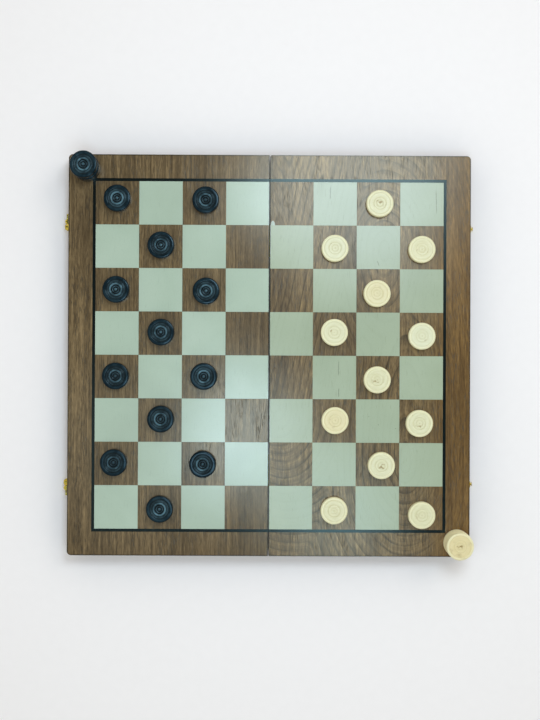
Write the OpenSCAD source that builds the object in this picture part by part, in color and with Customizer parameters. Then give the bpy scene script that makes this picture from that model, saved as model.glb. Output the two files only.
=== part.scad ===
// Games compendium box: two shallow trays hinged together, lying open with
// the chequered outer faces up and the mouths down. +X is towards the right
// half, +Y towards the far end, +Z up. The origin is under the middle of the
// seam, level with the lowest point of the hinge barrels.

/* [Playing face] */
// Side of one square of the chequered field
square = 51.8; // [40:0.1:65]
// Width of the dark line round the field
line_w = 3.5; // [2:0.1:6]
// Plain border outside the line, along the outer long sides
side_border = 29; // [22:0.5:40]
// Plain border outside the line, at the two ends
end_border = 28.5; // [22:0.5:40]
// Thickness of the painted squares, line and points
film_t = 0.12; // [0.08:0.01:0.2]
// Thickness of the walnut face veneer
veneer_t = 0.6; // [0.4:0.1:1]

/* [Trays] */
// Height of one tray, from its rim to the top of its veneer
tray_h = 27; // [22:0.5:45]
// Thickness of the rails
rail_t = 12; // [11:0.5:16]
// Thickness of the plywood panel
panel_t = 4; // [3:0.5:6]
// Width of the rebate in the rails that the panel lies in
rebate_w = 5; // [3:0.5:7]
// Thickness of the sheet that lines the panel inside
lining_t = 0.5; // [0.3:0.1:1]
// Radius of the four outer corners
corner_r = 5; // [3:0.5:8]
// Radius of the worn corner beside the seam, far end of the right tray
worn_corner_r = 2.5; // [1:0.5:4]
// Radius of the other corners beside the seam
seam_corner_r = 0.8; // [0.5:0.1:2]
// Gap between the trays along the seam
seam_gap = 0.6; // [0.4:0.1:1]

/* [Backgammon points] */
// Length of a point, as painted inside each tray
point_l = 180; // [120:5:200]
// Clear space between neighbouring points at their base
point_gap = 0.6; // [0.4:0.1:2]

/* [Hinges] */
// Length of a hinge
hinge_l = 40; // [30:1:60]
// Width of a leaf, from the pin's axis to its free edge
leaf_w = 8.5; // [7.5:0.5:10]
// Thickness of a leaf
leaf_t = 1; // [0.8:0.1:1.4]
// Outer radius of the knuckles
knuckle_r = 1.6; // [1.4:0.1:2]
// Radius of the hinge pin
hinge_pin_r = 0.9; // [0.7:0.05:1]
// Drop of the pin's axis below the rims, half the gap of the shut box
axis_drop = 0.2; // [0.1:0.05:0.4]
// Distance from a tray's end to the middle of the hinge
hinge_inset = 99; // [60:1:120]
// Radius of a hinge screw's head
screw_head_r = 1.9; // [1.6:0.1:2]
// Radius of a hinge screw's shank
screw_r = 0.9; // [0.7:0.1:1]
// Length of a hinge screw
screw_l = 9; // [7:0.5:12]

/* [Clasps] */
// Distance from a tray's end to the pivot of the clasp
clasp_inset = 84.8; // [60:0.5:100]
// Base radius of the turned bosses that carry the hooks and the studs
boss_r = 5.9; // [5.4:0.1:6.4]
// Height of the bosses off the wall
boss_h = 3.6; // [3:0.1:5]
// Thickness of a hook
hook_t = 1.6; // [1.2:0.1:2]
// Radius of the hook's eye
hook_eye_r = 4.6; // [4:0.1:5]
// Radius of the pivot's shank
pivot_r = 1.5; // [1.2:0.1:1.7]
// Radius of the pivot's domed head
pivot_head_r = 3.6; // [2.8:0.1:3.8]
// Height of the domed head and of the finger knob over the hook
knob_h = 2.6; // [1:0.1:3]
// Radius of the finger knob
knob_r = 2.8; // [1.6:0.1:2.8]
// Radius of the keeper stud's neck
stud_neck_r = 1.2; // [1:0.1:1.4]
// Radius of the keeper stud's head
stud_head_r = 2.8; // [2.2:0.1:2.9]

/* [Draughtsmen] */
// Radius of a draughtsman
man_r = 16; // [12:0.5:20]
// Thickness of a draughtsman
man_h = 9.5; // [7:0.5:12]

/* [Hidden] */
$fn = 96;

// Overshoot of a cut past the face that it opens
cut = 1;
// Clearances: glued or driven in, running on a pin, and between moving faces
seat_gap = 0.02;
run_gap = 0.05;
side_gap = 0.15;
turn_gap = 0.3;
// Space left round each painted square, so that neighbours don't touch
film_gap = 0.05;

rows = 8;
cols = 4;
field_w = cols * square;
field_l = rows * square;
tray_w = field_w + line_w + side_border;
tray_l = field_l + 2 * (line_w + end_border);
axis_z = knuckle_r;
rim_z = axis_z + axis_drop;
rail_h = tray_h - veneer_t;
panel_z = rail_h - panel_t;
lining_z = panel_z - lining_t;
inner_w = tray_w - 2 * rail_t;
inner_l = tray_l - 2 * rail_t;
hinge_y = tray_l / 2 - hinge_inset;
clasp_y = tray_l / 2 - clasp_inset;

points_per_end = 6;
knuckles = 5;
screws_per_leaf = 3;

// The clasp sits just inside the rim, and its hook spans the shut rims
clasp_up = boss_r + 0.2;
stud_reach = 2 * clasp_up + 2 * axis_drop;
boss_top_r = 4.7;
boss_flange_t = 0.8;
notch_r = stud_neck_r + 0.2;
hook_arm_r = 2.9;
hook_tip = 3.1;
nose_r = 3.4;
knob_at = (pivot_head_r + stud_reach - stud_head_r) / 2;
hook_z = boss_h + run_gap;
head_z = hook_z + hook_t + 2 * run_gap;
stud_head_h = 0.7;
shank_in = rail_t - 3;

// Draughtsmen on the squares: square from the seam, row from the far end,
// and how far each stands off the middle of its square
dark_men = [
    [3, 0, [0.4, 4.5]], [1, 0, [1.8, 2.9]], [2, 1, [0.8, 0.9]], [3, 2, [-0.5, -0.2]],
    [1, 2, [2.8, -1.6]], [2, 3, [1.2, 1.1]], [3, 4, [-0.6, 0.6]], [1, 4, [0.5, 0.5]],
    [2, 5, [1.4, 1.6]], [3, 6, [-2.3, 1.5]], [1, 6, [-0.3, 0]], [2, 7, [0.7, -1.6]]
];
light_men = [
    [2, 0, [0.9, -0.3]], [1, 1, [-0.4, -2]], [3, 1, [-0.7, -2.8]], [2, 2, [-2, -3.6]],
    [1, 3, [-0.7, 1.7]], [3, 3, [-0.3, -2.2]], [2, 4, [-1.4, -2.5]], [1, 5, [0.6, 0.7]],
    [3, 5, [-2.9, -2.3]], [2, 6, [4, -0.6]], [1, 7, [-0.1, -2.6]], [3, 7, [0.4, -7.6]]
];
// Corner stacks: margin between the lowest piece's rim and the tray's edges,
// and how far each piece above it is off centre
dark_stack_margin = [6, 1.2];
light_stack_margin = [-0.4, 1.2];
dark_stack_slips = [[0, 0], [0.5, -0.4], [-0.4, 0.4]];
light_stack_slips = [[0, 0], [0.3, -0.2], [-0.1, -0.6]];

// Turned faces: share of the radius, and depth below the rim
dark_face = [
    [0.95, 0], [0.73, 0], [0.69, 0.7], [0.63, 0.3], [0.58, 0.8], [0.53, 0.1],
    [0.36, 0.1], [0.32, 0.9], [0.25, 0.2], [0.16, 0.8], [0.1, 0.3], [0, 0.3]
];
light_face = [
    [0.92, 0], [0.82, 0], [0.79, 0.5], [0.76, 0.2], [0.49, 0.3], [0.45, 0.8],
    [0.41, 0.3], [0.28, 0.4], [0.25, 0.8], [0.22, 0.4], [0.05, 0.4], [0.04, 0.9], [0, 0.9]
];
dark_bevel = 0.8;
light_bevel = 1.3;

walnut = "#6f5c45";
side_wood = "#5c4630";
plywood = "#c9ad7c";
pale_paint = "#b4c9bb";
dark_paint = "#1d2b2f";
lining_wood = "#8a6b47";
brass = "#c9b04a";
dark_wood = "#1b2a38";
light_wood = "#e3e3c6";

// ---- Placing ----

// Right tray as drawn, left tray as its mirror image
module tray_side(side) {
    if (side < 0)
        mirror([1, 0, 0]) children();
    else
        children();
}

module tray(side) {
    tray_side(side) translate([seam_gap / 2, 0, rim_z]) children();
}

// Far end as drawn, near end as its mirror image
module tray_end(end) {
    if (end < 0)
        mirror([0, 1, 0]) children();
    else
        children();
}

// On an outer wall: X along the tray, Y up from the rim, Z out of the wall
module on_wall(side, end) {
    tray_side(side) tray_end(end)
        translate([seam_gap / 2 + tray_w, clasp_y, rim_z + clasp_up])
            rotate([90, 0, 90])
                children();
}

// ---- Trays ----

module corner_waste(r) {
    difference() {
        translate([-cut, -cut]) square(r + cut);
        translate([r, r]) circle(r);
    }
}

module tray_plan(side) {
    far_r = side > 0 ? worn_corner_r : seam_corner_r;
    difference() {
        translate([0, -tray_l / 2]) square([tray_w, tray_l]);
        translate([0, -tray_l / 2]) corner_waste(seam_corner_r);
        translate([0, tray_l / 2]) mirror([0, 1]) corner_waste(far_r);
        translate([tray_w, -tray_l / 2]) mirror([1, 0]) corner_waste(corner_r);
        translate([tray_w, tray_l / 2]) rotate(180) corner_waste(corner_r);
    }
}

// Plan of one rail: a long one beside or away from the seam, mitred
module long_rail_wedge() {
    polygon([
        [-cut, -tray_l / 2 - cut], [-cut, tray_l / 2 + cut],
        [rail_t, tray_l / 2 - rail_t], [rail_t, -tray_l / 2 + rail_t]
    ]);
}

module end_rail_wedge() {
    polygon([
        [-cut, tray_l / 2 + cut], [tray_w + cut, tray_l / 2 + cut],
        [tray_w - rail_t, tray_l / 2 - rail_t], [rail_t, tray_l / 2 - rail_t]
    ]);
}

module panel_plan(grow = 0) {
    side = rail_t - rebate_w - grow;
    translate([side, -tray_l / 2 + side])
        square([tray_w - 2 * side, tray_l - 2 * side]);
}

module rail_blank(side) {
    color(side_wood)
        difference() {
            linear_extrude(rail_h)
                intersection() {
                    tray_plan(side);
                    children();
                }
            translate([0, 0, panel_z]) linear_extrude(panel_t + cut) panel_plan();
        }
}

module hinge_rail(side) {
    difference() {
        tray(side) rail_blank(side) long_rail_wedge();
        for (end = [-1, 1])
            hinge_mortise(side, end);
    }
}

module outer_rail(side) {
    difference() {
        tray(side) rail_blank(side)
            translate([tray_w, 0]) mirror([1, 0]) long_rail_wedge();
        for (end = [-1, 1])
            on_wall(side, end)
                translate([0, 0, -shank_in]) cylinder(r = pivot_r + seat_gap, h = shank_in + cut);
    }
}

module end_rail(side, end) {
    tray(side) rail_blank(side) tray_end(end) end_rail_wedge();
}

module panel(side) {
    color(plywood)
        tray(side) translate([0, 0, panel_z]) linear_extrude(panel_t) panel_plan();
}

module veneer(side) {
    color(walnut)
        tray(side) translate([0, 0, rail_h]) linear_extrude(veneer_t) tray_plan(side);
}

module lining(side) {
    color(lining_wood)
        tray(side)
            translate([rail_t + side_gap, -inner_l / 2 + side_gap, lining_z])
                cube([inner_w - 2 * side_gap, inner_l - 2 * side_gap, lining_t]);
}

// ---- Painted work ----

module line(side) {
    color(dark_paint)
        tray(side) translate([0, 0, tray_h])
            linear_extrude(film_t)
                difference() {
                    translate([0, -field_l / 2 - line_w])
                        square([field_w + line_w, field_l + 2 * line_w]);
                    translate([-cut, -field_l / 2]) square([field_w + cut, field_l]);
                }
}

module light_squares(side) {
    first = side > 0 ? 0 : 1;
    color(pale_paint)
        tray(side)
            for (row = [0 : rows - 1], col = [0 : cols - 1])
                if ((row + col + first) % 2 == 1)
                    translate([col * square + film_gap, field_l / 2 - (row + 1) * square + film_gap, tray_h])
                        cube([square - 2 * film_gap, square - 2 * film_gap, film_t]);
}

// Six points at each end, every other one in the same colour
module points(side, dark) {
    step = inner_w / points_per_end;
    color(dark ? dark_paint : pale_paint)
        tray(side)
            for (end = [-1, 1], n = [0 : points_per_end - 1])
                if ((n % 2 == 0) == (dark == (end * side > 0)))
                    tray_end(end)
                        translate([rail_t + n * step, inner_l / 2 - side_gap, lining_z - film_t])
                            linear_extrude(film_t)
                                polygon([[point_gap / 2, 0], [step - point_gap / 2, 0], [step / 2, -point_l]]);
}

// ---- Hinges ----

// From the pin's axis, in the rim's plane: X across the leaf, Y along it
module at_hinge(side, end) {
    tray_side(side) tray_end(end) translate([0, hinge_y, axis_z]) children();
}

module along_y(r, from, to) {
    translate([0, from, 0]) rotate([-90, 0, 0]) cylinder(r = r, h = to - from);
}

function leaf_screw_x() = (knuckle_r + turn_gap + leaf_w) / 2;
function leaf_screw_y(n) = (n - (screws_per_leaf - 1) / 2) * hinge_l / screws_per_leaf;

module hinge_mortise(side, end) {
    at_hinge(side, end) {
        translate([0, -hinge_l / 2, axis_drop - cut]) cube([leaf_w, hinge_l, leaf_t + cut]);
        along_y(knuckle_r + turn_gap, -hinge_l / 2 - turn_gap, hinge_l / 2 + turn_gap);
        for (n = [0 : screws_per_leaf - 1])
            translate([leaf_screw_x(), leaf_screw_y(n), axis_drop])
                cylinder(r = screw_r + seat_gap, h = screw_l + seat_gap);
    }
}

module countersink(gap) {
    cylinder(r1 = screw_head_r + gap, r2 = screw_r + gap, h = leaf_t);
}

module leaf(side, end) {
    knuckle_l = hinge_l / knuckles;
    odd = side > 0 ? 1 : 0;
    bore_gap = side > 0 ? run_gap : seat_gap;
    color(brass)
        at_hinge(side, end)
            difference() {
                union() {
                    translate([0, -hinge_l / 2, axis_drop]) cube([leaf_w, hinge_l, leaf_t]);
                    for (n = [0 : knuckles - 1])
                        if (n % 2 == odd)
                            along_y(knuckle_r,
                                -hinge_l / 2 + n * knuckle_l + (n > 0 ? side_gap / 2 : 0),
                                -hinge_l / 2 + (n + 1) * knuckle_l - (n < knuckles - 1 ? side_gap / 2 : 0));
                }
                for (n = [0 : knuckles - 1])
                    if (n % 2 != odd)
                        translate([-cut, -hinge_l / 2 + n * knuckle_l - side_gap / 2, -cut])
                            cube([knuckle_r + turn_gap + cut, knuckle_l + side_gap, leaf_t + 2 * cut]);
                along_y(hinge_pin_r + bore_gap, -hinge_l / 2 - cut, hinge_l / 2 + cut);
                for (n = [0 : screws_per_leaf - 1])
                    translate([leaf_screw_x(), leaf_screw_y(n), axis_drop]) {
                        countersink(seat_gap);
                        translate([0, 0, -cut]) cylinder(r = screw_head_r + seat_gap, h = cut);
                        cylinder(r = screw_r + seat_gap, h = leaf_t + cut);
                    }
            }
}

module hinge_pin(end) {
    color(brass) at_hinge(1, end) along_y(hinge_pin_r, -hinge_l / 2, hinge_l / 2);
}

module hinge_screw() {
    slot_w = 0.5;
    slot_d = 0.5;
    difference() {
        union() {
            countersink(0);
            cylinder(r = screw_r, h = screw_l);
        }
        translate([-screw_head_r - cut, -slot_w / 2, -cut])
            cube([2 * (screw_head_r + cut), slot_w, slot_d + cut]);
    }
}

module hinge_screws(side) {
    color(brass)
        for (end = [-1, 1], n = [0 : screws_per_leaf - 1])
            at_hinge(side, end)
                translate([leaf_screw_x(), leaf_screw_y(n), axis_drop]) hinge_screw();
}

// ---- Clasps ----

module turned_boss(r) {
    rotate_extrude()
        polygon([
            [pivot_r + run_gap, 0], [r, 0], [r, boss_flange_t], [r - 0.5, boss_flange_t + 0.5],
            [boss_top_r, boss_h], [pivot_r + run_gap, boss_h]
        ]);
}

module domed_head(r, h) {
    edge = h * 0.4;
    rotate_extrude()
        polygon(concat(
            [[0, 0], [r, 0]],
            [for (a = [0 : 15 : 90]) [r * cos(a), edge + (h - edge) * sin(a)]]
        ));
}

module clasp_boss(end) {
    color(brass) on_wall(-1, end) turned_boss(boss_r);
}

module clasp_pivot(end) {
    color(brass)
        on_wall(-1, end) {
            translate([0, 0, -shank_in]) cylinder(r = pivot_r, h = shank_in + head_z);
            translate([0, 0, head_z]) domed_head(pivot_head_r, knob_h);
        }
}

// The hook lies parked away from the middle, its notch open towards the rim
module hook_plan() {
    difference() {
        union() {
            circle(hook_eye_r);
            translate([0, -hook_arm_r]) square([stud_reach, 2 * hook_arm_r]);
            translate([stud_reach - nose_r, -hook_arm_r])
                square([nose_r + hook_tip - 1, hook_arm_r + nose_r]);
            translate([stud_reach - nose_r, -hook_arm_r + 1])
                square([nose_r + hook_tip, hook_arm_r + nose_r - 2]);
            for (v = [-hook_arm_r + 1, nose_r - 1])
                translate([stud_reach + hook_tip - 1, v]) circle(1);
        }
        translate([stud_reach, 0]) circle(notch_r);
        intersection() {
            difference() {
                circle(stud_reach + notch_r);
                circle(stud_reach - notch_r);
            }
            translate([0, -stud_reach]) square([2 * stud_reach, stud_reach]);
        }
        circle(pivot_r + run_gap);
    }
}

module clasp_hook(end) {
    color(brass)
        on_wall(-1, end) {
            translate([0, 0, hook_z]) linear_extrude(hook_t) hook_plan();
            translate([knob_at, 0, hook_z + hook_t]) domed_head(knob_r, knob_h);
        }
}

module keeper_boss(end) {
    color(brass) on_wall(1, end) turned_boss(boss_r);
}

module keeper_stud(end) {
    color(brass)
        on_wall(1, end) {
            translate([0, 0, -shank_in]) cylinder(r = pivot_r, h = shank_in + boss_h);
            translate([0, 0, boss_h]) cylinder(r = stud_neck_r, h = head_z - boss_h);
            translate([0, 0, head_z]) domed_head(stud_head_r, stud_head_h);
        }
}

// ---- Draughtsmen ----

module draughtsman(face, bevel) {
    low = [for (p = face) [p[0] * man_r, p[1]]];
    high = [for (n = [len(face) - 1 : -1 : 0]) [face[n][0] * man_r, man_h - face[n][1]]];
    rotate_extrude()
        polygon(concat(high, [[man_r, man_h - bevel], [man_r, bevel]], low));
}

module men(side, places) {
    for (p = places)
        translate([
            side * (seam_gap / 2 + (p[0] + 0.5) * square) + p[2][0],
            field_l / 2 - (p[1] + 0.5) * square + p[2][1],
            rim_z + tray_h
        ])
            children();
}

module stack_place(side, end, margin, slips, level) {
    slip = slips[level];
    translate([
        side * (seam_gap / 2 + tray_w - margin[0] - man_r) + slip[0],
        end * (tray_l / 2 - margin[1] - man_r) + slip[1],
        rim_z + tray_h + film_t + level * man_h
    ])
        children();
}

module dark_man() {
    color(dark_wood) draughtsman(dark_face, dark_bevel);
}

module light_man() {
    color(light_wood) draughtsman(light_face, light_bevel);
}

module dark_stack(level) {
    stack_place(-1, 1, dark_stack_margin, dark_stack_slips, level) dark_man();
}

module light_stack(level) {
    stack_place(1, -1, light_stack_margin, light_stack_slips, level) light_man();
}

// ---- Nodes ----

panel(-1);  // left_panel
veneer(-1);  // left_veneer
line(-1);  // left_line
light_squares(-1);  // left_light_squares
lining(-1);  // left_lining
points(-1, true);  // left_dark_points
points(-1, false);  // left_light_points
outer_rail(-1);  // left_outer_rail
hinge_rail(-1);  // left_hinge_rail
end_rail(-1, 1);  // left_far_rail
end_rail(-1, -1);  // left_near_rail
panel(1);  // right_panel
veneer(1);  // right_veneer
line(1);  // right_line
light_squares(1);  // right_light_squares
lining(1);  // right_lining
points(1, true);  // right_dark_points
points(1, false);  // right_light_points
outer_rail(1);  // right_outer_rail
hinge_rail(1);  // right_hinge_rail
end_rail(1, 1);  // right_far_rail
end_rail(1, -1);  // right_near_rail
leaf(-1, 1);  // far_hinge_left_leaf
leaf(1, 1);  // far_hinge_right_leaf
hinge_pin(1);  // far_hinge_pin
leaf(-1, -1);  // near_hinge_left_leaf
leaf(1, -1);  // near_hinge_right_leaf
hinge_pin(-1);  // near_hinge_pin
hinge_screws(-1);  // left_hinge_screws
hinge_screws(1);  // right_hinge_screws
clasp_boss(1);  // far_clasp_boss
clasp_hook(1);  // far_clasp_hook
clasp_pivot(1);  // far_clasp_pivot
clasp_boss(-1);  // near_clasp_boss
clasp_hook(-1);  // near_clasp_hook
clasp_pivot(-1);  // near_clasp_pivot
keeper_boss(1);  // far_keeper_boss
keeper_stud(1);  // far_keeper_stud
keeper_boss(-1);  // near_keeper_boss
keeper_stud(-1);  // near_keeper_stud
men(-1, dark_men) dark_man();  // dark_draughtsmen
men(1, light_men) light_man();  // light_draughtsmen
dark_stack(0);  // dark_stack_bottom
dark_stack(1);  // dark_stack_middle
dark_stack(2);  // dark_stack_top
light_stack(0);  // light_stack_bottom
light_stack(1);  // light_stack_middle
light_stack(2);  // light_stack_top
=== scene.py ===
import bmesh
import bpy
import math
from mathutils import Matrix, Vector


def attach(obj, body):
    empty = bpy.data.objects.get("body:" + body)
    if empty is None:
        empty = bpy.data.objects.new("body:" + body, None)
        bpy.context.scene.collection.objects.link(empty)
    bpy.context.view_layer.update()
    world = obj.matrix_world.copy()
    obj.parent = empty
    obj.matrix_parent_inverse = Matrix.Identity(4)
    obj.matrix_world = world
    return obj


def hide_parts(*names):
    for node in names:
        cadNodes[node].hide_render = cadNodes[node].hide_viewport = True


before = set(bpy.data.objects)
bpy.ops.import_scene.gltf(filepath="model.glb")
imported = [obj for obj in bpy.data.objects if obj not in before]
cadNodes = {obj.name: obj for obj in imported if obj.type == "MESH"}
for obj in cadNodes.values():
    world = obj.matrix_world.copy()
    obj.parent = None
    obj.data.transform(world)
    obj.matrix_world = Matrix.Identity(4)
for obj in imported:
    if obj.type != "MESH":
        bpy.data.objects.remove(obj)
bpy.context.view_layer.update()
print("frame loaded:", len(cadNodes), "nodes")


def feed(tree, socket, value):
    # links a socket, or sets its fixed value
    if isinstance(value, bpy.types.NodeSocket):
        tree.links.new(value, socket)
    else:
        socket.default_value = value


def place(tree, kind, links=None, **props):
    node = tree.nodes.new(kind)
    for key, value in props.items():
        setattr(node, key, value)
    for key, value in (links or {}).items():
        feed(tree, node.inputs[key], value)
    return node


def calc(tree, operation, *values):
    return place(tree, "ShaderNodeMath", dict(enumerate(values)), operation=operation).outputs[0]


def vectorCalc(tree, operation, *values):
    node = place(tree, "ShaderNodeVectorMath", dict(enumerate(values)), operation=operation)
    return node.outputs["Value" if operation == "LENGTH" else "Vector"]


def axes(tree, vector):
    return place(tree, "ShaderNodeSeparateXYZ", {0: vector}).outputs


def remap(tree, value, low, high, toLow=0.0, toHigh=1.0, smooth=True):
    labels = ("Value", "From Min", "From Max", "To Min", "To Max")
    links = dict(zip(labels, (value, low, high, toLow, toHigh)))
    kind = "SMOOTHSTEP" if smooth else "LINEAR"
    return place(tree, "ShaderNodeMapRange", links, interpolation_type=kind).outputs[0]


def blendColor(tree, factor, first, second, mode="MIX"):
    node = place(tree, "ShaderNodeMix", {0: factor, 6: first, 7: second},
                 data_type="RGBA", blend_type=mode, clamp_factor=True)
    return node.outputs[2]


def cover(tree, color, mask, share, over):
    # lays a second colour over the first where the mask says, by no more than the share
    return blendColor(tree, calc(tree, "MULTIPLY", mask, share), color, over)


def noise(tree, vector, scale, detail=2.0, roughness=0.5, distortion=0.0):
    return place(tree, "ShaderNodeTexNoise", {
        "Vector": vector, "Scale": scale, "Detail": detail, "Roughness": roughness,
        "Distortion": distortion}).outputs[0]


def stretched(tree, vector, scale, offset=(0, 0, 0), turn=(0, 0, 0)):
    return place(tree, "ShaderNodeMapping", {
        "Vector": vector, "Location": offset, "Rotation": turn, "Scale": scale}).outputs[0]


def longNoise(tree, vector, scale, detail=2.0, roughness=0.5, distortion=0.0, offset=(0, 0, 0)):
    # noise with a scale of its own on each axis
    return noise(tree, stretched(tree, vector, scale, offset), 1.0, detail, roughness, distortion)


def centred(tree, pattern, reach):
    # a pattern of 0 to 1 as a swing to both sides of zero, as wide as the reach
    return calc(tree, "MULTIPLY", calc(tree, "SUBTRACT", pattern, 0.5), reach)


def layered(tree, layers):
    # patterns of 0 to 1 added up about one half, each by its own share
    total = 0.5
    for pattern, share in layers:
        total = calc(tree, "MULTIPLY_ADD", calc(tree, "SUBTRACT", pattern, 0.5), share, total)
    return total


def ramp(tree, factor, stops):
    node = place(tree, "ShaderNodeValToRGB", {"Fac": factor})
    while len(node.color_ramp.elements) < len(stops):
        node.color_ramp.elements.new(0.5)
    for element, (position, color) in zip(node.color_ramp.elements, stops):
        element.position = position
        element.color = color
    return node.outputs[0]


def tone(hexCode):
    # sRGB hex code to a linear colour
    values = [int(hexCode[i:i + 2], 16) / 255 for i in (0, 2, 4)]
    return tuple(v / 12.92 if v <= 0.04045 else ((v + 0.055) / 1.055) ** 2.4 for v in values) + (1.0,)


def shaderGroup(name, inputs, outputs):
    group = bpy.data.node_groups.new(name, "ShaderNodeTree")
    for label, default in inputs.items():
        kind = "NodeSocketVector" if isinstance(default, tuple) else "NodeSocketFloat"
        group.interface.new_socket(label, in_out="INPUT", socket_type=kind).default_value = default
    for label in outputs:
        group.interface.new_socket(label, in_out="OUTPUT", socket_type="NodeSocketFloat")
    return group, place(group, "NodeGroupInput").outputs, place(group, "NodeGroupOutput").inputs


def useGroup(tree, group, links):
    return place(tree, "ShaderNodeGroup", links, node_tree=group).outputs


def newMaterial(name):
    material = bpy.data.materials.new(name)
    material.use_nodes = True
    tree = material.node_tree
    where = tree.nodes.new("ShaderNodeTexCoord").outputs["Object"]
    return material, tree, tree.nodes["Principled BSDF"], where


def finishSurface(tree, shader, color, rough, height=None, relief=None):
    # relief is the bump's distance and strength
    feed(tree, shader.inputs["Base Color"], color)
    feed(tree, shader.inputs["Roughness"], rough)
    if height is not None:
        bump = place(tree, "ShaderNodeBump", {"Height": height, "Distance": relief[0], "Strength": relief[1]})
        tree.links.new(bump.outputs[0], shader.inputs["Normal"])


woodGrain = {
    # scale across, along and through the grain, then detail, roughness and distortion
    "flecks": ((820, 110, 150), 3, 0.65),
    "fibres": ((430, 8, 60), 3, 0.6),
    "bands": ((40, 2.2, 20), 3, 0.55, 0.3),
    "clouds": ((13, 6, 10), 2, 0.5),
    "breaks": ((60, 16, 20), 3, 0.5),
    "dashes": ((1150, 105, 200), 2, 0.5),
    "crowding": ((120, 20, 30), 2, 0.5),
    # how fast the streaks change from ring to ring, and along and across the wood
    "ringStep": 4.2, "streakScale": 30,
    "shares": {"streaks": 0.6, "fibres": 0.75, "bands": 0.5, "clouds": 0.35},
    # the latewood line: how sharply it darkens, and its sharp and soft shares
    "lineSharpness": 7, "lineSharp": 0.85, "lineSoft": 0.15,
    # how much the pores crowd beside a line, and what flecks and pores add to the relief
    "poreCrowd": 0.07, "fleckHeight": 0.3, "poreDepth": 0.7,
}


def makeGrainGroup():
    s = woodGrain
    group, source, result = shaderGroup(
        "walnutGrain", {"Vector": (0, 0, 0), "Rings": 0.0, "Line": 0.4, "Fleck": 1.0, "Offset": 0.0},
        ("Tone", "Pores", "Lines", "Height"))
    shifted = vectorCalc(group, "ADD", source["Vector"], source["Offset"])
    split = axes(group, shifted)
    along = place(group, "ShaderNodeCombineXYZ", {
        0: calc(group, "MULTIPLY", source["Rings"], s["ringStep"]),
        1: calc(group, "MULTIPLY", split["Y"], s["streakScale"]),
        2: calc(group, "MULTIPLY", split["X"], s["streakScale"])}).outputs[0]
    patterns = {"streaks": noise(group, along, 1.0, 4, 0.7, 0.1)}
    for key in ("fibres", "bands", "clouds"):
        patterns[key] = longNoise(group, shifted, *s[key])
    value = layered(group, [(patterns[key], share) for key, share in s["shares"].items()])
    flecks = longNoise(group, shifted, *s["flecks"])
    value = calc(group, "ADD", value, centred(group, flecks, source["Fleck"]))
    # latewood line at the end of each ring, darker towards it and broken up along its length
    part = calc(group, "FRACT", source["Rings"])
    rise = remap(group, part, 0.2, 0.9)
    soft = calc(group, "MULTIPLY", rise, s["lineSoft"])
    sharp = calc(group, "MULTIPLY_ADD", calc(group, "POWER", rise, s["lineSharpness"]), s["lineSharp"], soft)
    fall = remap(group, part, 0.95, 1.0, 1, 0)
    broken = remap(group, longNoise(group, shifted, *s["breaks"]), 0.33, 0.6, 0.4, 1)
    line = calc(group, "MULTIPLY", calc(group, "MULTIPLY", sharp, fall), broken)
    line = calc(group, "MULTIPLY", line, source["Line"])
    # open pores, short dark dashes along the grain, more of them beside the ring lines
    dashes = longNoise(group, shifted, *s["dashes"])
    crowd = calc(group, "MULTIPLY_ADD", rise, s["poreCrowd"], longNoise(group, shifted, *s["crowding"]))
    pores = calc(group, "MULTIPLY", remap(group, dashes, 0.53, 0.62), remap(group, crowd, 0.42, 0.62))
    raised = calc(group, "MULTIPLY", flecks, s["fleckHeight"])
    height = calc(group, "SUBTRACT", raised, calc(group, "MULTIPLY", pores, s["poreDepth"]))
    for label, item in (("Tone", value), ("Pores", pores), ("Lines", line), ("Height", height)):
        group.links.new(item, result[label])
    return group


def makeHandlingGroup():
    # smudges and fine dust that vary the gloss of a lacquered surface
    group, source, result = shaderGroup(
        "handling", {"Vector": (0, 0, 0), "Gloss": 0.35, "Spread": 0.12}, ("Roughness",))
    smudge = noise(group, source["Vector"], 16, 4, 0.6, 0.6)
    dust = noise(group, source["Vector"], 420, 2, 0.5)
    marks = calc(group, "MULTIPLY_ADD", dust, 0.25, calc(group, "MULTIPLY", smudge, 0.75))
    swing = calc(group, "SUBTRACT", marks, 0.5)
    rough = calc(group, "MULTIPLY_ADD", swing, source["Spread"], source["Gloss"])
    group.links.new(rough, result["Roughness"])
    return group


# how far the painted edge shade wanders, and how much of it is at full strength
edgeShadeSpread = {"ragged": 0.0012, "full": 0.0002}


def makeEdgeShadeGroup():
    # mask of the painted shade along a tray's rounded edges and the seam: 1 at the outline of a tray, 0 from
    # the given width inwards
    group, source, result = shaderGroup(
        "trayEdgeShade", {"Vector": (0, 0, 0), "Middle": (0, 0, 0), "Half": (0.12, 0.24, 0), "Width": 0.002},
        ("Mask",))
    local = vectorCalc(group, "ABSOLUTE", vectorCalc(group, "SUBTRACT", source["Vector"], source["Middle"]))
    split = axes(group, vectorCalc(group, "SUBTRACT", source["Half"], local))
    nearest = calc(group, "MINIMUM", split["X"], split["Y"])
    ragged = calc(group, "SUBTRACT", noise(group, source["Vector"], 260, 3, 0.6), 0.5)
    nearest = calc(group, "MULTIPLY_ADD", ragged, edgeShadeSpread["ragged"], nearest)
    group.links.new(remap(group, nearest, edgeShadeSpread["full"], source["Width"], 1, 0), result["Mask"])
    return group


grainGroup = makeGrainGroup()
handlingGroup = makeHandlingGroup()
edgeShadeGroup = makeEdgeShadeGroup()
print("shader groups made")


def handled(tree, where, gloss, spread):
    return useGroup(tree, handlingGroup, {"Vector": where, "Gloss": gloss, "Spread": spread})["Roughness"]


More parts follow.
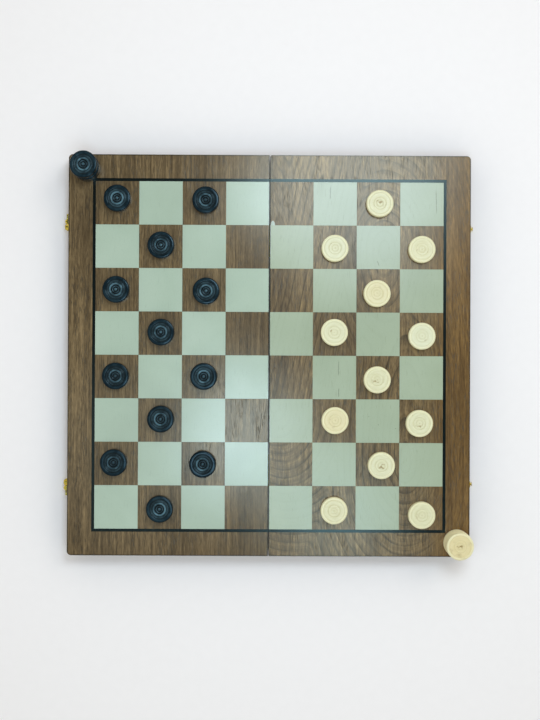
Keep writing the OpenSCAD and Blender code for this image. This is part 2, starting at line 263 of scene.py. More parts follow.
# the growth rings on the face of each tray, cut from two sheets of veneer
leftFigure = {"center": -0.226, "wander": 0.007, "ringWidth": 0.0085, "tip": 1.1, "drift": 2.6}
rightFigure = {
    "merge": 1.2, "drift": 0.9, "wobble": 0.35,
    # middle x and y, ring width across and its growth per metre up, width up and down the grain,
    # lean up and down, first ring
    "eyes": [
        (0.012, 0.150, 0.0034, 26.0, 0.0210, 0.0080, -0.55, 0.0, 0.0),
        (0.004, -0.055, 0.0068, 0.0, 0.200, 0.0098, 0.22, -0.16, 0.0),
        (0.137, 0.128, 0.0074, 0.0, 0.0120, 0.018, 0.0, 0.0, 0.5),
        (0.163, -0.130, 0.0074, 0.0, 0.0300, 0.012, 0.0, 0.0, 0.3),
    ],
}


def leftRings(tree, where):
    s = leftFigure
    sway = longNoise(tree, where, (3, 7, 1), 1)
    middle = calc(tree, "MULTIPLY_ADD", sway, s["wander"], s["center"] - s["wander"] / 2)
    across = calc(tree, "DIVIDE", calc(tree, "SUBTRACT", axes(tree, where)["X"], middle), s["ringWidth"])
    rounded = calc(tree, "SQRT", calc(tree, "ADD", calc(tree, "MULTIPLY", across, across), s["tip"]))
    drift = longNoise(tree, where, (9, 6.5, 1), 2, offset=(0.4, 0.1, 0))
    return calc(tree, "MULTIPLY_ADD", drift, s["drift"], rounded)


def rightRings(tree, where):
    s = rightFigure
    spot = axes(tree, where)
    total = None
    for cx, cy, width, growth, above, below, leanUp, leanDown, start in s["eyes"]:
        dy = calc(tree, "SUBTRACT", spot["Y"], cy)
        up = calc(tree, "MAXIMUM", dy, 0.0)
        down = calc(tree, "MINIMUM", dy, 0.0)
        middle = calc(tree, "MULTIPLY_ADD", up, leanUp, calc(tree, "MULTIPLY_ADD", down, leanDown, cx))
        ringWidth = calc(tree, "MULTIPLY_ADD", up, growth * width, width)
        rings = place(tree, "ShaderNodeCombineXYZ", {
            0: calc(tree, "DIVIDE", calc(tree, "SUBTRACT", spot["X"], middle), ringWidth),
            1: calc(tree, "DIVIDE", up, above), 2: calc(tree, "DIVIDE", down, below)}).outputs[0]
        reach = calc(tree, "ADD", vectorCalc(tree, "LENGTH", rings), start)
        total = reach if total is None else calc(tree, "SMOOTH_MIN", total, reach, s["merge"])
    bend = longNoise(tree, where, (8, 6, 1), 2, offset=(0.3, 0.7, 0))
    wobble = longNoise(tree, where, (40, 12, 1), 2)
    total = calc(tree, "MULTIPLY_ADD", bend, s["drift"], total)
    return calc(tree, "MULTIPLY_ADD", wobble, s["wobble"], total)


figures = {
    "left": {"rings": leftRings, "line": 0.2, "fleck": 0.7, "offset": 0.0},
    "right": {"rings": rightRings, "line": 0.62, "fleck": 0.9, "offset": 3.7},
    # towards the right tray's outer edge: where the fade starts and ends, and the share it leaves
    "lineFade": (0.16, 0.205, 0.25), "fleckFade": (0.185, 0.21, 0.6),
}


def faded(tree, across, share, fade):
    start, end, left = fade
    return remap(tree, across, start, end, share, share * left)


def veneerGrain(tree, where, side):
    s = figures[side]
    across = axes(tree, where)["X"]
    return useGroup(tree, grainGroup, {
        "Vector": where, "Rings": s["rings"](tree, where), "Offset": s["offset"],
        "Line": faded(tree, across, s["line"], figures["lineFade"]),
        "Fleck": faded(tree, across, s["fleck"], figures["fleckFade"])})


def boxRound(spots):
    # lowest and highest corner
    return [min(s[i] for s in spots) for i in range(3)], [max(s[i] for s in spots) for i in range(3)]


def trayEdgeShade(tree, where, side, width):
    low, high = boxRound([vert.co for vert in cadNodes[side + "_veneer"].data.vertices])
    middle = [(a + b) / 2 for a, b in zip(low, high)]
    half = [(b - a) / 2 for a, b in zip(low, high)]
    links = {"Vector": where, "Middle": middle, "Half": half, "Width": width}
    return useGroup(tree, edgeShadeGroup, links)["Mask"]


walnutLook = {
    "left": {"gloss": 0.18, "wood": [(0.15, tone("3c2f1e")), (0.5, tone("65543a")), (0.85, tone("8f7955"))]},
    "right": {"gloss": 0.21, "wood": [(0.15, tone("402f1c")), (0.5, tone("6b583b")), (0.85, tone("967e55"))]},
    "line": tone("2d2214"), "pore": tone("241b11"), "poreShare": 0.65, "poreRough": 0.12,
    # tone, share and width of the painted shade along the tray's rounded edges and the seam
    "edge": tone("1a1510"), "edgeShadeShare": 0.85, "edgeShadeWidth": 0.0019,
    "warm": (0.99, 0.84, 0.6, 1), "warmFrom": 0.185, "warmTo": 0.215,
    "spread": 0.07, "tint": (1.0, 0.95, 0.76, 1), "relief": (0.00004, 0.4),
}


def walnutVeneer(side):
    s = walnutLook
    material, tree, shader, where = newMaterial("walnutVeneer_" + side)
    grain = veneerGrain(tree, where, side)
    color = ramp(tree, grain["Tone"], s[side]["wood"])
    color = blendColor(tree, grain["Lines"], color, s["line"])
    color = cover(tree, color, grain["Pores"], s["poreShare"], s["pore"])
    # painted shade along the tray's rounded edges and the seam
    color = cover(tree, color, trayEdgeShade(tree, where, side, s["edgeShadeWidth"]), s["edgeShadeShare"], s["edge"])
    if side == "right":
        # warmer wood along the outer edge of the sheet
        warmth = remap(tree, axes(tree, where)["X"], s["warmFrom"], s["warmTo"])
        color = blendColor(tree, warmth, color, s["warm"], "MULTIPLY")
        color = blendColor(tree, paintSpill(tree, where), color, paleLook["spill"])
    gloss = handled(tree, where, s[side]["gloss"], s["spread"])
    rough = calc(tree, "MULTIPLY_ADD", grain["Pores"], s["poreRough"], gloss)
    shader.inputs["Specular Tint"].default_value = s["tint"]
    finishSurface(tree, shader, color, rough, grain["Height"], s["relief"])
    return material


spillShape = {
    "x": 0.0038, "y": 0.1555, "halfWidth": 0.0024, "halfLength": 0.0052, "ragged": 0.6, "share": 0.85,
}


def paintSpill(tree, where):
    # a small spill of the pale paint beside the seam, above the second row
    s = spillShape
    ragged = centred(tree, noise(tree, where, 700, 2), s["ragged"])
    spot = axes(tree, where)
    across = calc(tree, "DIVIDE", calc(tree, "SUBTRACT", spot["X"], s["x"]), s["halfWidth"])
    up = calc(tree, "DIVIDE", calc(tree, "SUBTRACT", spot["Y"], s["y"]), s["halfLength"])
    reach = calc(tree, "ADD", calc(tree, "MULTIPLY", across, across), calc(tree, "MULTIPLY", up, up))
    return remap(tree, calc(tree, "ADD", reach, ragged), 0.8, 1.15, s["share"], 0)


filmCracks = {
    "wander": 0.0012, "core": 0.0003, "side": 0.0007,
    # middle x and y, half length, lean
    "splits": [
        (0.0723, 0.1947, 0.009, 0.02), (0.1988, 0.1838, 0.016, -0.03), (0.1296, 0.1105, 0.0035, -0.4),
        (0.0830, -0.0150, 0.010, 0.0), (0.0832, -0.0440, 0.006, 0.01), (0.1192, -0.0724, 0.0007, 0.0),
        (0.1308, -0.0822, 0.0008, 0.0), (0.1514, -0.0864, 0.0006, 0.0),
    ],
}


def crackMask(tree, where):
    # fine splits that follow the grain, their ends thinned and their sides ragged
    s = filmCracks
    ragged = centred(tree, noise(tree, where, 420, 2), s["wander"])
    spot = axes(tree, where)
    total = 0.0
    for cx, cy, half, lean in s["splits"]:
        dy = calc(tree, "SUBTRACT", spot["Y"], cy)
        off = calc(tree, "MULTIPLY_ADD", dy, -lean, calc(tree, "SUBTRACT", spot["X"], cx))
        off = calc(tree, "ABSOLUTE", calc(tree, "ADD", off, ragged))
        reach = calc(tree, "DIVIDE", calc(tree, "ABSOLUTE", dy), half)
        thick = remap(tree, off, s["core"], s["side"], 1, 0)
        inside = calc(tree, "MULTIPLY", thick, remap(tree, reach, 0.6, 1.0, 1, 0))
        total = calc(tree, "MAXIMUM", inside, total)
    return total


paleLook = {
    "left": {"film": (tone("a6b8a3"), tone("acbfaa"), tone("b3c5b1")),
             "gloss": 0.19, "lineShare": 0.02, "breakShare": 0.1},
    "right": {"film": (tone("9caa8e"), tone("a2b094"), tone("a8b69b")),
              "gloss": 0.22, "lineShare": 0.07, "breakShare": 0.2},
    "spill": tone("b4c6bd"), "crack": tone("434a3c"), "crackShare": 0.42, "speckShare": 0.12,
    # share and width of the painted shade where the pale squares meet the tray's edge and the seam
    "edgeShadeShare": 0.85, "edgeShadeWidth": 0.0013, "spread": 0.07, "relief": (0.00004, 0.2),
}


def palePaint(side):
    s = paleLook
    material, tree, shader, where = newMaterial("palePaint_" + side)
    grain = veneerGrain(tree, where, side)
    cloud = remap(tree, noise(tree, where, 9, 3, 0.55, 0.4), 0.3, 0.7, 0, 1, False)
    color = ramp(tree, cloud, list(zip((0, 0.5, 1), s[side]["film"])))
    speck = remap(tree, noise(tree, where, 1300, 2, 0.6), 0.55, 0.75)
    color = cover(tree, color, speck, s["speckShare"], s["crack"])
    # the ring lines under the film telegraph through it
    color = cover(tree, color, grain["Lines"], s[side]["lineShare"], s["crack"])
    # rare dark dashes where an open pore breaks the film
    dashes = longNoise(tree, where, (1100, 75, 100), 1, 0.5, offset=(figures[side]["offset"], 0, 0))
    breaks = calc(tree, "MULTIPLY", remap(tree, dashes, 0.66, 0.74), s[side]["breakShare"])
    if side == "right":
        cracks = calc(tree, "MULTIPLY", crackMask(tree, where), s["crackShare"])
        breaks = calc(tree, "MAXIMUM", breaks, cracks)
    color = blendColor(tree, breaks, color, s["crack"])
    # painted shade where the pale squares meet the tray's edge and the seam
    edge = trayEdgeShade(tree, where, side, s["edgeShadeWidth"])
    color = cover(tree, color, edge, s["edgeShadeShare"], walnutLook["edge"])
    rough = handled(tree, where, s[side]["gloss"], s["spread"])
    finishSurface(tree, shader, color, rough, grain["Height"], s["relief"])
    return material


darkPaintLook = {
    "main": tone("060a09"), "worn": tone("151b1b"), "gloss": 0.18, "spread": 0.06,
    "shine": 0.36, "tint": (0.76, 1.0, 0.93, 1), "relief": (0.00004, 0.3),
}


def darkPaint():
    s = darkPaintLook
    material, tree, shader, where = newMaterial("darkPaint")
    streak = longNoise(tree, where, (400, 30, 60), 3, 0.6)
    color = blendColor(tree, remap(tree, streak, 0.5, 0.8), s["main"], s["worn"])
    shader.inputs["Specular IOR Level"].default_value = s["shine"]
    shader.inputs["Specular Tint"].default_value = s["tint"]
    finishSurface(tree, shader, color, handled(tree, where, s["gloss"], s["spread"]), streak, s["relief"])
    return material


railLook = {
    "wood": [(0.0, tone("2a1f14")), (0.4, tone("423220")), (0.7, tone("58452c")), (1.0, tone("6e583a"))],
    # rings per metre up the wall and across the rim, and how far they sway
    "ringsUp": 210, "ringsAcross": 90, "sway": 3.0,
    "line": 0.35, "fleck": 0.9, "offset": 1.3, "poreShare": 0.5,
    "gloss": 0.42, "spread": 0.16, "relief": (0.00012, 0.7),
}


def walnutRail(name, alongX):
    # solid walnut, grain along the rail
    s = railLook
    material, tree, shader, where = newMaterial(name)
    turned = stretched(tree, where, (1, 1, 1), turn=(0, 0, math.radians(90) if alongX else 0))
    spot = axes(tree, turned)
    sway = calc(tree, "MULTIPLY", longNoise(tree, turned, (20, 4, 20), 2), s["sway"])
    rings = calc(tree, "MULTIPLY_ADD", spot["X"], s["ringsAcross"], sway)
    rings = calc(tree, "MULTIPLY_ADD", spot["Z"], s["ringsUp"], rings)
    # the fibres are as fine up the wall as across the rim
    fine = stretched(tree, turned, (1, 1, 5))
    grain = useGroup(tree, grainGroup, {
        "Vector": fine, "Rings": rings, "Line": s["line"], "Fleck": s["fleck"], "Offset": s["offset"]})
    color = ramp(tree, grain["Tone"], s["wood"])
    color = cover(tree, color, grain["Pores"], s["poreShare"], walnutLook["pore"])
    rough = handled(tree, where, s["gloss"], s["spread"])
    finishSurface(tree, shader, color, rough, grain["Height"], s["relief"])
    return material


liningLook = {
    "wood": [(0, tone("6a4f33")), (0.5, tone("8f6f4a")), (1, tone("a98a61"))],
    "pore": tone("4a3622"), "poreShare": 0.35, "ringsAcross": 130, "sway": 2.5,
    "line": 0.3, "fleck": 0.7, "offset": 6.1, "gloss": 0.45, "spread": 0.12, "relief": (0.0001, 0.4),
}


def liningWood():
    s = liningLook
    material, tree, shader, where = newMaterial("liningWood")
    sway = calc(tree, "MULTIPLY", longNoise(tree, where, (6, 5, 1), 2), s["sway"])
    rings = calc(tree, "MULTIPLY_ADD", axes(tree, where)["X"], s["ringsAcross"], sway)
    grain = useGroup(tree, grainGroup, {
        "Vector": where, "Rings": rings, "Line": s["line"], "Fleck": s["fleck"], "Offset": s["offset"]})
    color = ramp(tree, grain["Tone"], s["wood"])
    color = cover(tree, color, grain["Pores"], s["poreShare"], s["pore"])
    rough = handled(tree, where, s["gloss"], s["spread"])
    finishSurface(tree, shader, color, rough, grain["Height"], s["relief"])
    return material


plywoodLook = {
    "wood": [(0.2, tone("9c7c50")), (0.6, tone("c3a473")), (0.9, tone("d8bd8e"))],
    "pliesPerMetre": 1250, "plyShare": 0.35, "flameShare": 0.65, "rough": 0.7, "relief": (0.0001, 0.5),
}


def plywood():
    # alternate plies show on the panel's edge, bare rotary-cut birch on its faces
    s = plywoodLook
    material, tree, shader, where = newMaterial("plywood")
    plies = calc(tree, "PINGPONG", calc(tree, "MULTIPLY", axes(tree, where)["Z"], s["pliesPerMetre"]), 1.0)
    flame = longNoise(tree, where, (30, 6, 900), 4, 0.6, 1.0)
    flamePart = calc(tree, "MULTIPLY", flame, s["flameShare"])
    mixed = calc(tree, "MULTIPLY_ADD", remap(tree, plies, 0.45, 0.55), s["plyShare"], flamePart)
    finishSurface(tree, shader, ramp(tree, mixed, s["wood"]), s["rough"], flame, s["relief"])
    return material


brassLook = {
    "bright": tone("e2cf62"), "deep": tone("a98f2c"), "dark": tone("4d4418"), "relief": (0.00002, 0.4),
    # mean roughness, and how far dark spots of age cover the metal
    "fittings": (0.22, 0.25), "hinges": (0.42, 0.8), "scratchSpread": 0.2,
}


def brass(name, roughness, agedShare):
    s = brassLook
    material, tree, shader, where = newMaterial(name)
    spots = remap(tree, noise(tree, where, 620, 3, 0.6), 0.58, 0.75)
    color = ramp(tree, noise(tree, where, 190, 4, 0.6, 0.4), [(0.3, s["deep"]), (0.6, s["bright"])])
    color = cover(tree, color, spots, agedShare, s["dark"])
    shader.inputs["Metallic"].default_value = 1.0
    scratches = longNoise(tree, where, (1800, 300, 300), 3, 0.6)
    rough = calc(tree, "MULTIPLY_ADD", scratches, s["scratchSpread"], roughness - s["scratchSpread"] / 2)
    finishSurface(tree, shader, color, rough, scratches, s["relief"])
    return material


mergeDistance = 1e-6
flatAngle = math.radians(0.6)


def islandBoxes(node):
    # the box round each separate solid in a node
    work = bmesh.new()
    work.from_mesh(cadNodes[node].data)
    bmesh.ops.remove_doubles(work, verts=work.verts, dist=mergeDistance)
    left = set(work.verts)
    boxes = []
    while left:
        todo = [left.pop()]
        found = [todo[0].co.copy()]
        while todo:
            for edge in todo.pop().link_edges:
                for vert in edge.verts:
                    if vert in left:
                        left.remove(vert)
                        todo.append(vert)
                        found.append(vert.co.copy())
        boxes.append(boxRound(found))
    work.free()
    return sorted(boxes)


manLow, manTop = islandBoxes("dark_stack_top")[0]
manRadius = (manTop[0] - manLow[0]) / 2
manHeight = manTop[2] - manLow[2]

manLook = {
    "dark": {
        # the groove tone is painted shade in the turned grooves
        "low": tone("02090d"), "high": tone("05131a"), "rim": tone("05131b"), "grooveShade": tone("010203"),
        # the crest tone is a painted highlight on the turned crests
        "stain": tone("0c1315"), "crestHighlightTone": tone("5e818d"), "grooveShadeShare": 0.8, "blotShare": 0.2, "rough": 0.1,
        "shine": 0.2, "tint": (0.62, 0.9, 1.0, 1),
    },
    "light": {
        # the groove tone is painted shade in the turned grooves
        "low": tone("d4d1a5"), "high": tone("e5e3be"), "rim": tone("eae6bb"), "grooveShade": tone("bdb684"),
        "stain": tone("8e7436"), "warm": tone("e3ce92"), "cool": tone("e3e8cc"),
        "grooveShadeShare": 0.45, "blotShare": 0.8, "rough": 0.32, "relief": (0.00003, 0.3),
    },
    # distances from a man's middle
    "blotFrom": 0.002, "blotTo": 0.009, "rimFrom": 0.0115, "rimTo": 0.0155, "rimShare": 0.75,
    "marksPerMetre": 1500, "ringsPerMetre": 420, "ringSway": 5, "figureRough": 0.1,
    # how far one man's tint moves it through the patterns, so that no two are alike
    "tintShift": 37.0,
}

# share of the radius and the strength of the painted highlight on the turned crests there
crestHighlight = [
    (0.0, 0.85), (0.08, 0.6), (0.13, 0), (0.19, 0), (0.235, 0.45), (0.28, 0), (0.345, 0), (0.39, 0.75),
    (0.46, 0.85), (0.51, 0.1), (0.545, 0), (0.575, 0.45), (0.605, 0), (0.645, 0.45), (0.68, 0), (0.74, 0.08),
    (0.86, 0.13), (0.93, 0.06), (0.96, 0),
]


def lightVariety(tree, color, moved, tint):
    # some men are warmer or paler than the rest, the warm ones with a tan patch
    s = manLook["light"]
    color = blendColor(tree, remap(tree, tint, 0.5, 1.0, 0, 0.75), color, s["warm"])
    color = blendColor(tree, remap(tree, tint, 0.0, 0.45, 0.6, 0), color, s["cool"])
    patch = remap(tree, noise(tree, moved, 70, 3, 0.6), 0.55, 0.7)
    return cover(tree, color, patch, remap(tree, tint, 0.6, 0.9, 0.05, 0.4), s["stain"])


def paintCrestHighlight(tree, color, moved, tint, radius):
    # painted highlight on the turned crests of the dark men, stronger on some men than on others, and in
    # patches
    highlightStops = [(share, (highlightShare, highlightShare, highlightShare, 1)) for share, highlightShare in crestHighlight]
    # where the painted crest highlight lies, by share of the radius
    worn = ramp(tree, calc(tree, "DIVIDE", radius, manRadius), highlightStops)
    patchy = remap(tree, noise(tree, moved, 130, 2, 0.5), 0.36, 0.62, 0.3, 1)
    patchy = calc(tree, "MULTIPLY", patchy, remap(tree, tint, 0.0, 1.0, 0.6, 1.15, False))
    return cover(tree, color, worn, patchy, manLook["dark"]["crestHighlightTone"])


def turnedWood(shade):
    # each man carries its own middle as an attribute, so that the turning marks are rings round it
    material, tree, shader, where = newMaterial("turnedWood_" + shade)
    s = manLook[shade]
    middle = place(tree, "ShaderNodeAttribute", attribute_name="manMiddle").outputs["Vector"]
    tint = place(tree, "ShaderNodeAttribute", attribute_name="manTint").outputs["Fac"]
    grooveShadeMask = place(tree, "ShaderNodeAttribute", attribute_name="grooveShadeMask").outputs["Fac"]
    local = vectorCalc(tree, "SUBTRACT", where, middle)
    radius = vectorCalc(tree, "LENGTH", vectorCalc(tree, "MULTIPLY", local, (1, 1, 0)))
    shift = calc(tree, "MULTIPLY", tint, manLook["tintShift"])
    along = calc(tree, "MULTIPLY_ADD", radius, manLook["marksPerMetre"], shift)
    marks = place(tree, "ShaderNodeTexNoise", {
        "W": along, "Scale": 1.0, "Detail": 2, "Roughness": 0.6}, noise_dimensions="1D").outputs[0]
    offset = place(tree, "ShaderNodeCombineXYZ", {0: shift, 1: shift}).outputs[0]
    moved = vectorCalc(tree, "ADD", local, offset)
    figure = longNoise(tree, moved, (70, 420, 70), 3, 0.55, 0.8)
    # the wood's own growth rings lie off centre under the turning marks
    growth = calc(tree, "MULTIPLY", noise(tree, moved, 55, 1, 0.5), manLook["ringSway"])
    rings = calc(tree, "MULTIPLY_ADD", radius, manLook["ringsPerMetre"], growth)
    rings = calc(tree, "PINGPONG", rings, 1.0)
    value = layered(tree, ((marks, 0.6), (figure, 0.7), (rings, 0.3), (tint, 0.35)))
    color = blendColor(tree, remap(tree, value, 0.2, 0.8, 0, 1, False), s["low"], s["high"])
    if shade == "light":
        color = lightVariety(tree, color, moved, tint)
    rim = remap(tree, radius, manLook["rimFrom"], manLook["rimTo"], 0, manLook["rimShare"])
    color = blendColor(tree, rim, color, s["rim"])
    # painted shade in the turned grooves, darker where the groove is deeper
    color = cover(tree, color, grooveShadeMask, s["grooveShadeShare"], s["grooveShade"])
    blot = remap(tree, longNoise(tree, moved, (200, 250, 90), 2, 0.5), 0.615, 0.72)
    blot = calc(tree, "MULTIPLY", blot, remap(tree, radius, manLook["blotFrom"], manLook["blotTo"], 1, 0))
    color = cover(tree, color, blot, s["blotShare"], s["stain"])
    rough = calc(tree, "MULTIPLY_ADD", figure, manLook["figureRough"], s["rough"])
    if shade == "light":
        finishSurface(tree, shader, color, rough, marks, s["relief"])
    else:
        shader.inputs["Specular IOR Level"].default_value = s["shine"]
        shader.inputs["Specular Tint"].default_value = s["tint"]
        # painted highlight on the turned crests
        finishSurface(tree, shader, paintCrestHighlight(tree, color, moved, tint, radius), rough)
    return material


materials = {
    "veneerLeft": walnutVeneer("left"), "veneerRight": walnutVeneer("right"),
    "paleLeft": palePaint("left"), "paleRight": palePaint("right"),
    "darkPaint": darkPaint(),
    "railY": walnutRail("walnutRailLong", False), "railX": walnutRail("walnutRailEnd", True),
    "lining": liningWood(), "plywood": plywood(),
    "brass": brass("brassFittings", *brassLook["fittings"]),
    "brassAged": brass("brassHinges", *brassLook["hinges"]),
    "dark": turnedWood("dark"), "light": turnedWood("light"),
}
print("materials made:", len(materials))

softEdges = {
    # bevel width, segments and the least angle in degrees
    "veneer": (0.00045, 3, 28), "rail": (0.0007, 3, 28), "brass": (0.00018, 2, 30),
}


def restMesh(node):
    # a merged copy of a CAD node's mesh, its flat faces made whole again
    work = bmesh.new()
    work.from_mesh(cadNodes[node].data)
    bmesh.ops.remove_doubles(work, verts=work.verts, dist=mergeDistance)
    bmesh.ops.dissolve_limit(work, angle_limit=flatAngle, verts=work.verts, edges=work.edges)
    return work


def addPiece(name, mesh):
    piece = bpy.data.objects.new(name, mesh)
    bpy.context.scene.collection.objects.link(piece)
    return piece


def settle(piece, name):
    # bakes the modifiers into a plain mesh and drops the source object
    depsgraph = bpy.context.evaluated_depsgraph_get()
    mesh = bpy.data.meshes.new_from_object(piece.evaluated_get(depsgraph))
    mesh.name = name
    bpy.data.objects.remove(piece)
    return addPiece(name, mesh)


def softened(node, name, edge, material):
    width, segments, angle = softEdges[edge]
    work = restMesh(node)
    mesh = bpy.data.meshes.new(name)
    work.to_mesh(mesh)
    work.free()
    piece = addPiece(name, mesh)
    for polygon in mesh.polygons:
        polygon.use_smooth = True
    mesh.set_sharp_from_angle(angle=math.radians(angle))
    bevel = piece.modifiers.new("softEdge", "BEVEL")
    bevel.width = width
    bevel.segments = segments
    bevel.limit_method = "ANGLE"
    bevel.angle_limit = math.radians(angle)
    bevel.harden_normals = True
    bevel.use_clamp_overlap = True
    finished = settle(piece, name)
    finished.data.materials.clear()
    finished.data.materials.append(material)
    return finished


def stands(piece, node, body):
    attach(piece, body)
    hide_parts(node)


def dress(node, material):
    cadNodes[node].data.materials.clear()
    cadNodes[node].data.materials.append(material)


for side in ("left", "right"):
    body = side + "_half"
    cap = side.capitalize()
    veneer = side + "_veneer"
    stands(softened(veneer, side + "FaceVeneer", "veneer", materials["veneer" + cap]), veneer, body)
    for rail, key in (("outer", "railY"), ("hinge", "railY"), ("far", "railX"), ("near", "railX")):
        node = side + "_" + rail + "_rail"
        stands(softened(node, side + rail.capitalize() + "Rail", "rail", materials[key]), node, body)
    for piece, key in (("panel", "plywood"), ("line", "darkPaint"), ("light_squares", "pale" + cap),
                       ("lining", "lining"), ("dark_points", "darkPaint"), ("light_points", "pale" + cap),
                       ("hinge_screws", "brassAged")):
        dress(side + "_" + piece, materials[key])
for end in ("far", "near"):
    for piece in ("hinge_left_leaf", "hinge_right_leaf", "hinge_pin"):
        dress(end + "_" + piece, materials["brassAged"])
    for piece, body in (("clasp_boss", "left_half"), ("clasp_pivot", "left_half"),
                        ("clasp_hook", end + "_hook"), ("keeper_boss", "right_half"),
                        ("keeper_stud", "right_half")):
        node = end + "_" + piece
        stands(softened(node, "soft_" + node, "brass", materials["brass"]), node, body)
print("trays and fittings dressed")

manSettings = {
    "segments": 112, "seed": 7, "stackSeed": 27, "tintSeedStep": 11,
    "softCorner": 0.00025, "cornerSteps": 3, "sideShare": 0.45,
    # the grooves that get painted shade lie inside this share of the radius, and the painted shade deepens by
    # this power
    "grooveReach": 0.9, "groovePower": 1.5,
}

manFaces = {
    # share of the radius and depth in metres, from the middle outwards
    "dark": [
        (0.0, 0.0002), (0.06, 0.00025), (0.11, 0.0005), (0.145, 0.0009), (0.17, 0.0009), (0.21, 0.0005),
        (0.25, 0.0003), (0.28, 0.0004), (0.31, 0.0009), (0.335, 0.0009), (0.37, 0.0005), (0.41, 0.0002),
        (0.46, 0.0001), (0.50, 0.00025), (0.54, 0.0008), (0.575, 0.0004), (0.61, 0.0008), (0.645, 0.0004),
        (0.685, 0.0008), (0.73, 0.0002), (0.77, 0.0), (0.86, 0.0), (0.93, 0.00015),
    ],
    "light": [
        (0.0, 0.0009), (0.03, 0.0009), (0.06, 0.0004), (0.21, 0.0004), (0.24, 0.0008), (0.27, 0.0004),
        (0.41, 0.0003), (0.45, 0.0008), (0.48, 0.0003), (0.75, 0.0002), (0.785, 0.0006), (0.82, 0.0),
        (0.91, 0.0),
    ],
}
manRims = {"dark": [(0.98, 0.0005), (1.0, 0.0012)], "light": [(0.96, 0.0004), (1.0, 0.0014)]}


def softLine(points, reach, steps, sideShare):
    # rounds each inner corner of a polyline with a small curve, which takes less than half of either side
    made = [points[0]]
    for before, here, after in zip(points, points[1:], points[2:]):
        a, b, c = Vector(before), Vector(here), Vector(after)
        start = b + (a - b).normalized() * min(reach, (a - b).length * sideShare)
        end = b + (c - b).normalized() * min(reach, (c - b).length * sideShare)
        for i in range(steps + 1):
            t = i / steps
            made.append(tuple((1 - t) ** 2 * start + 2 * t * (1 - t) * b + t ** 2 * end))
    made.append(points[-1])
    return made


def turnedMan(shade, radius, height):
    s = manSettings
    upper = [(share * radius, height / 2 - depth) for share, depth in manFaces[shade] + manRims[shade]]
    lower = [(r, -z) for r, z in reversed(upper)]
    deepest = max(depth for share, depth in manFaces[shade])
    turns = [2 * math.pi * k / s["segments"] for k in range(s["segments"])]
    work = bmesh.new()
    # mask of the painted shade in the turned grooves, carried on each vertex
    grooveShadeMask = work.verts.layers.float.new("grooveShadeMask")
    rings = []
    for r, z in softLine(upper + lower, s["softCorner"], s["cornerSteps"], s["sideShare"]):
        if r < mergeDistance:
            ring = [work.verts.new((0, 0, z))]
        else:
            ring = [work.verts.new((r * math.cos(t), r * math.sin(t), z)) for t in turns]
        grooveShade = 0.0
        # the deeper the groove, the stronger its painted shade
        if r < s["grooveReach"] * radius:
            grooveShade = min(1.0, max(0.0, (height / 2 - abs(z)) / deepest))
        for vert in ring:
            vert[grooveShadeMask] = grooveShade ** s["groovePower"]
        rings.append(ring)
    for first, second in zip(rings, rings[1:]):
        for k in range(s["segments"]):
            a, b = first[k % len(first)], first[(k + 1) % len(first)]
            c, d = second[(k + 1) % len(second)], second[k % len(second)]
            corners = [v for i, v in enumerate((a, d, c, b)) if v not in (a, d, c, b)[:i]]
            if len(corners) > 2:
                work.faces.new(corners)
    for face in work.faces:
        face.smooth = True
    bmesh.ops.recalc_face_normals(work, faces=work.faces)
    mesh = bpy.data.meshes.new("turnedMan_" + shade)
    work.to_mesh(mesh)
    work.free()
    return addPiece("turnedMan_" + shade, mesh)


def manTree():
    # puts a turned man on each point, with its own turn, tint and middle
    tree = bpy.data.node_groups.new("setOutMen", "GeometryNodeTree")
    for label, kind in (("Geometry", "Geometry"), ("Man", "Object"), ("Seed", "Int"), ("Wood", "Material")):
        tree.interface.new_socket(label, in_out="INPUT", socket_type="NodeSocket" + kind)
    tree.interface.new_socket("Geometry", in_out="OUTPUT", socket_type="NodeSocketGeometry")
    source = place(tree, "NodeGroupInput").outputs
    result = place(tree, "NodeGroupOutput").inputs
    man = place(tree, "GeometryNodeObjectInfo", {"Object": source["Man"]}).outputs["Geometry"]
    turn = place(tree, "FunctionNodeRandomValue", {
        "Max": (0, 0, 2 * math.pi), "Seed": source["Seed"]}, data_type="FLOAT_VECTOR").outputs[0]
    tintSeed = calc(tree, "ADD", source["Seed"], manSettings["tintSeedStep"])
    tint = place(tree, "FunctionNodeRandomValue", {"Seed": tintSeed}, data_type="FLOAT").outputs[1]
    position = place(tree, "GeometryNodeInputPosition").outputs[0]
    marked = place(tree, "GeometryNodeStoreNamedAttribute", {
        "Geometry": source["Geometry"], "Name": "manMiddle", "Value": position}, data_type="FLOAT_VECTOR")
    tinted = place(tree, "GeometryNodeStoreNamedAttribute", {
        "Geometry": marked.outputs[0], "Name": "manTint", "Value": tint}, data_type="FLOAT")
    spread = place(tree, "GeometryNodeInstanceOnPoints", {
        "Points": tinted.outputs[0], "Instance": man, "Rotation": turn})
    realized = place(tree, "GeometryNodeRealizeInstances", {0: spread.outputs[0]})
    finished = place(tree, "GeometryNodeSetMaterial", {
        "Geometry": realized.outputs[0], "Material": source["Wood"]})
    tree.links.new(finished.outputs[0], result[0])
    return tree


menTree = manTree()
turnedMen = {shade: turnedMan(shade, manRadius, manHeight) for shade in ("dark", "light")}


def setOut(node, body, shade, seed):
    middles = [tuple((a + b) / 2 for a, b in zip(low, high)) for low, high in islandBoxes(node)]
    mesh = bpy.data.meshes.new(node + "Points")
    mesh.from_pydata(middles, [], [])
    holder = addPiece(node + "Points", mesh)
    modifier = holder.modifiers.new("setOutMen", "NODES")
    modifier.node_group = menTree
    values = {"Man": turnedMen[shade], "Seed": seed, "Wood": materials[shade]}
    for item in menTree.interface.items_tree:
        if item.in_out == "INPUT" and item.name in values:
            modifier[item.identifier] = values[item.name]
    stands(settle(holder, "turned_" + node), node, body)


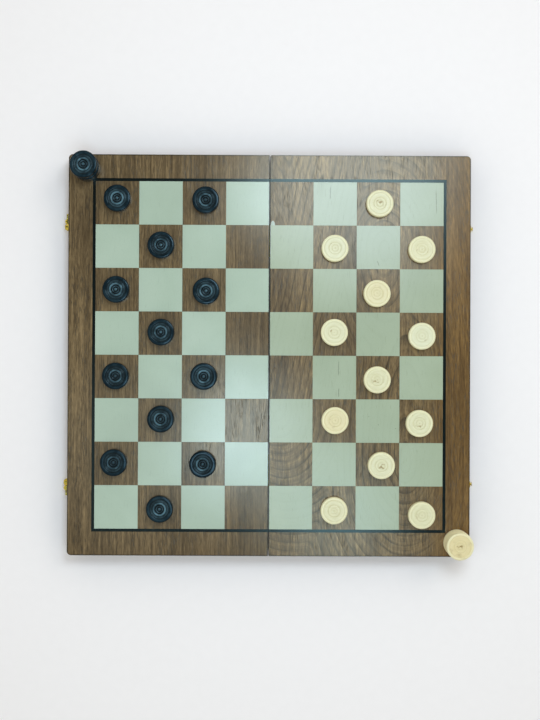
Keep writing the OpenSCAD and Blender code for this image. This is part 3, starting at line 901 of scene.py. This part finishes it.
for shade in ("dark", "light"):
    setOut(shade + "_draughtsmen", shade + "_men", shade, manSettings["seed"])
    for index, level in enumerate(("bottom", "middle", "top")):
        setOut(shade + "_stack_" + level, shade + "_man_" + level, shade, manSettings["stackSeed"] + index)
for source in turnedMen.values():
    bpy.data.objects.remove(source)
print("draughtsmen set out")

floorSettings = {
    "size": 60.0, "rough": 0.9, "shine": 0.1,
    "dark": (0.92, 0.895, 0.875, 1), "pale": (0.93, 0.905, 0.885, 1),
}


def makeFloor():
    s = floorSettings
    half = s["size"] / 2
    mesh = bpy.data.meshes.new("studioFloor")
    corners = [(-half, -half, 0), (half, -half, 0), (half, half, 0), (-half, half, 0)]
    mesh.from_pydata(corners, [], [(0, 1, 2, 3)])
    floor = addPiece("studioFloor", mesh)
    material, tree, shader, where = newMaterial("paleFloor")
    color = ramp(tree, noise(tree, where, 90, 2), [(0.3, s["dark"]), (0.7, s["pale"])])
    shader.inputs["Specular IOR Level"].default_value = s["shine"]
    finishSurface(tree, shader, color, s["rough"])
    mesh.materials.append(material)


lightSettings = {
    # the world's tone at the floor, the horizon and overhead, and between which heights they blend
    "floor": (0.575, 0.537, 0.489, 1), "horizon": (1.0, 0.92, 0.84, 1), "zenith": (0.16, 0.19, 0.2, 1),
    "horizonBlend": (0.01, 0.3), "zenithBlend": (0.55, 0.93), "strength": 0.97,
    "lamps": [
        # place, width, depth, power, tone: far and near side lights, then four that mirror in the lacquer
        ((1.7, 1.3, 2.3), 0.9, 0.9, 9.5, (1.0, 0.97, 0.93)),
        ((-0.45, -2.3, 2.6), 1.6, 1.2, 1.5, (1.0, 0.98, 0.95)),
        ((0.195, 0.445, 1.33), 0.44, 0.41, 6.2, (0.72, 0.85, 1.0)),
        ((-0.065, -0.175, 1.33), 0.22, 0.27, 1.75, (0.61, 0.8, 1.0)),
        ((0.16, -0.38, 1.33), 0.24, 0.25, 1.4, (0.58, 0.82, 1.0)),
        ((-0.24, -0.16, 1.33), 0.38, 0.6, 0.5, (0.75, 0.9, 1.0)),
    ],
}


def makeWorld():
    s = lightSettings
    world = bpy.data.worlds.new("softStudio")
    bpy.context.scene.world = world
    world.use_nodes = True
    tree = world.node_tree
    back = tree.nodes["Background"]
    height = axes(tree, tree.nodes.new("ShaderNodeTexCoord").outputs["Generated"])["Z"]
    low = blendColor(tree, remap(tree, height, *s["horizonBlend"]), s["floor"], s["horizon"])
    sky = blendColor(tree, remap(tree, height, *s["zenithBlend"]), low, s["zenith"])
    tree.links.new(sky, back.inputs["Color"])
    back.inputs["Strength"].default_value = s["strength"]


def makeLamps():
    for index, (spot, width, depth, power, color) in enumerate(lightSettings["lamps"]):
        data = bpy.data.lights.new("softLamp%d" % index, "AREA")
        data.shape = "RECTANGLE"
        data.size = width
        data.size_y = depth
        data.energy = power
        data.color = color
        lamp = addPiece("softLamp%d" % index, data)
        lamp.location = spot
        lamp.rotation_euler = (-Vector(spot)).to_track_quat("-Z", "Y").to_euler()


cameraSettings = {
    # angles in degrees
    "place": (-0.0023, -0.0104, 1.33), "tilt": 0.22, "tiltSide": -0.15, "roll": 0.28, "lens": 54.55,
}


def makeCamera():
    s = cameraSettings
    data = bpy.data.cameras.new("overheadCamera")
    data.lens = s["lens"]
    camera = addPiece("overheadCamera", data)
    camera.location = s["place"]
    turn = Matrix.Identity(3)
    for key, axis in (("tilt", "X"), ("tiltSide", "Y"), ("roll", "Z")):
        turn = turn @ Matrix.Rotation(math.radians(s[key]), 3, axis)
    camera.rotation_euler = turn.to_euler()
    bpy.context.scene.camera = camera


makeFloor()
makeWorld()
makeLamps()
makeCamera()
bpy.context.scene.view_settings.view_transform = "Standard"
print("studio ready")
